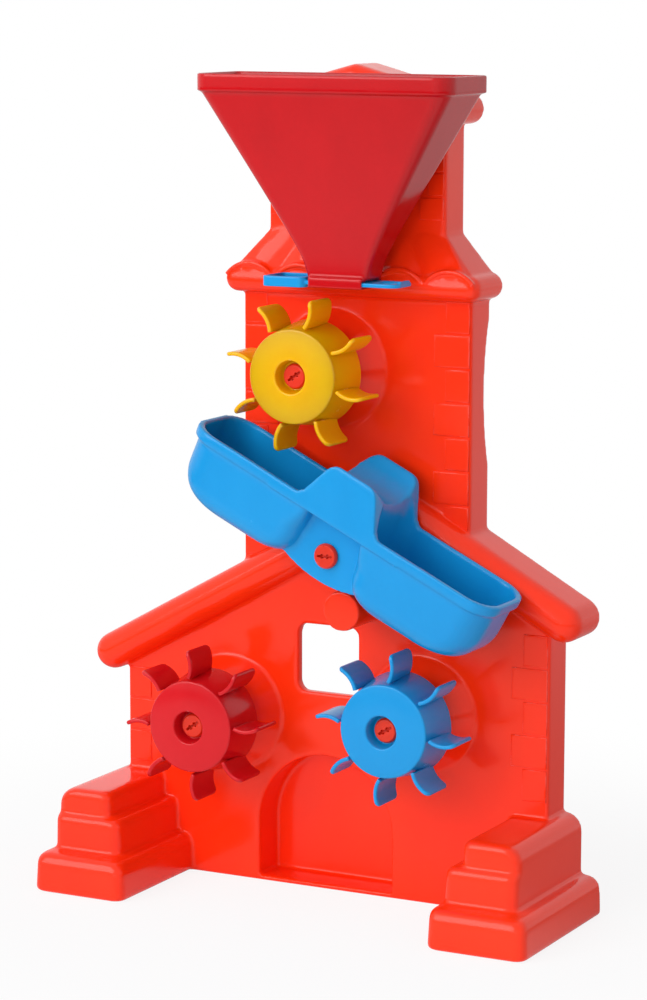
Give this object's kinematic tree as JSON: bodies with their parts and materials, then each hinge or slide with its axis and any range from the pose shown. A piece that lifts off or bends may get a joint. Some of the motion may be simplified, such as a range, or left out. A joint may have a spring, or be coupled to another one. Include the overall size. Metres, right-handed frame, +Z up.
{
  "type": "sand wheel toy",
  "caption": "Free-standing moulded house front for sand play, with a funnel and sliding gate, paddle wheels and a rocking double tipper.",
  "frame": {"origin": "middle of the box on the floor under the feet", "axes": "+Z up, +X to the right seen from the front, -Y towards the player"},
  "size_m": [0.2762, 0.095, 0.4186],
  "materials": {
    "orange_plastic": "glossy moulded polypropylene",
    "crimson_plastic": "glossy moulded polypropylene",
    "blue_plastic": "glossy moulded polypropylene",
    "yellow_plastic": "glossy moulded polypropylene",
    "pin_plastic": "satin moulded polypropylene"
  },
  "bodies": {
    "house": {"tower_shell": "orange_plastic", "funnel": "crimson_plastic", "upper_axle_pin": "pin_plastic", "left_axle_pin": "pin_plastic", "right_axle_pin": "pin_plastic", "tipper_pin": "pin_plastic"},
    "upper_wheel_body": {"upper_wheel": "yellow_plastic"},
    "left_wheel_body": {"left_wheel": "crimson_plastic"},
    "right_wheel_body": {"right_wheel": "blue_plastic"},
    "tipper_body": {"tipper": "blue_plastic"},
    "gate_body": {"slide_gate": "blue_plastic"}
  },
  "joints": [
    {"name": "upper_wheel_spin", "type": "hinge", "parent": "house", "child": "upper_wheel_body", "pos_m": [-0.00158, -0.0045, 0.268], "axis": [0, 1, 0], "continuous": true},
    {"name": "left_wheel_spin", "type": "hinge", "parent": "house", "child": "left_wheel_body", "pos_m": [-0.05937, -0.0045, 0.0876], "axis": [0, 1, 0], "continuous": true},
    {"name": "right_wheel_spin", "type": "hinge", "parent": "house", "child": "right_wheel_body", "pos_m": [0.04883, -0.0045, 0.0968], "axis": [0, 1, 0], "continuous": true},
    {"name": "tipper_rock", "type": "hinge", "parent": "house", "child": "tipper_body", "pos_m": [0.02113, -0.0075, 0.1826], "axis": [0, 1, 0], "range_deg": [-52.5, 0]},
    {"name": "gate_slide", "type": "slide", "parent": "house", "child": "gate_body", "axis": [1, 0, 0], "range_m": [-0.015, 0]}
  ]
}
